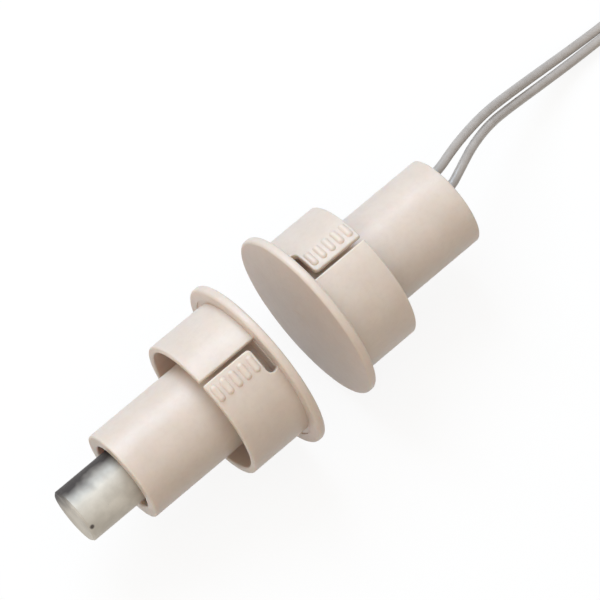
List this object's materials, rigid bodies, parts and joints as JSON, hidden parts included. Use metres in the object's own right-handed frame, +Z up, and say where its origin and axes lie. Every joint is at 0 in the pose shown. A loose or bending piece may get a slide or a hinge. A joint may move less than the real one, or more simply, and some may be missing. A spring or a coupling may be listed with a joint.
{
  "type": "recessed magnetic contact",
  "caption": "Recessed magnetic contact: a round reed switch half with two leads and a matching magnet half, each with a domed flange and a snap-in collar with sprung tabs.",
  "frame": {"origin": "on the switch half's axis, in the plane of its flange's back face, which seats on the door frame", "axes": "+X along the switch half's barrel towards its leads, away from the magnet half; +Z up; the halves face each other along X"},
  "size_m": [0.1505, 0.0319, 0.0308],
  "materials": {
    "ivory_plastic": "moulded, slightly glossy ivory",
    "magnet_metal": "cast and ground satin magnet alloy",
    "epoxy": "cast epoxy",
    "reed_glass": "clear, slightly green",
    "reed_metal": "satin nickel iron",
    "sleeve_plastic": "translucent tube",
    "solder": "bright solder",
    "tinned_copper": "tinned strands",
    "lead_jacket": "smooth light grey insulation",
    "tie_plastic": "natural nylon"
  },
  "bodies": {
    "root": {"switch_housing": "ivory_plastic", "magnet_housing": "ivory_plastic", "magnet": "magnet_metal", "magnet_glue": "epoxy", "potting": "epoxy", "reed_glass": "reed_glass", "reed_blade_front": "reed_metal", "reed_blade_rear": "reed_metal", "return_sleeve": "sleeve_plastic", "solder_joint_a": "solder", "solder_joint_b": "solder", "lead_core_a": "tinned_copper", "lead_core_b": "tinned_copper", "lead_jacket_end_a": "lead_jacket", "lead_jacket_end_b": "lead_jacket", "lead_a": "lead_jacket", "lead_b": "lead_jacket", "lead_coil": "lead_jacket", "coil_tie": "tie_plastic"}
  },
  "joints": []
}
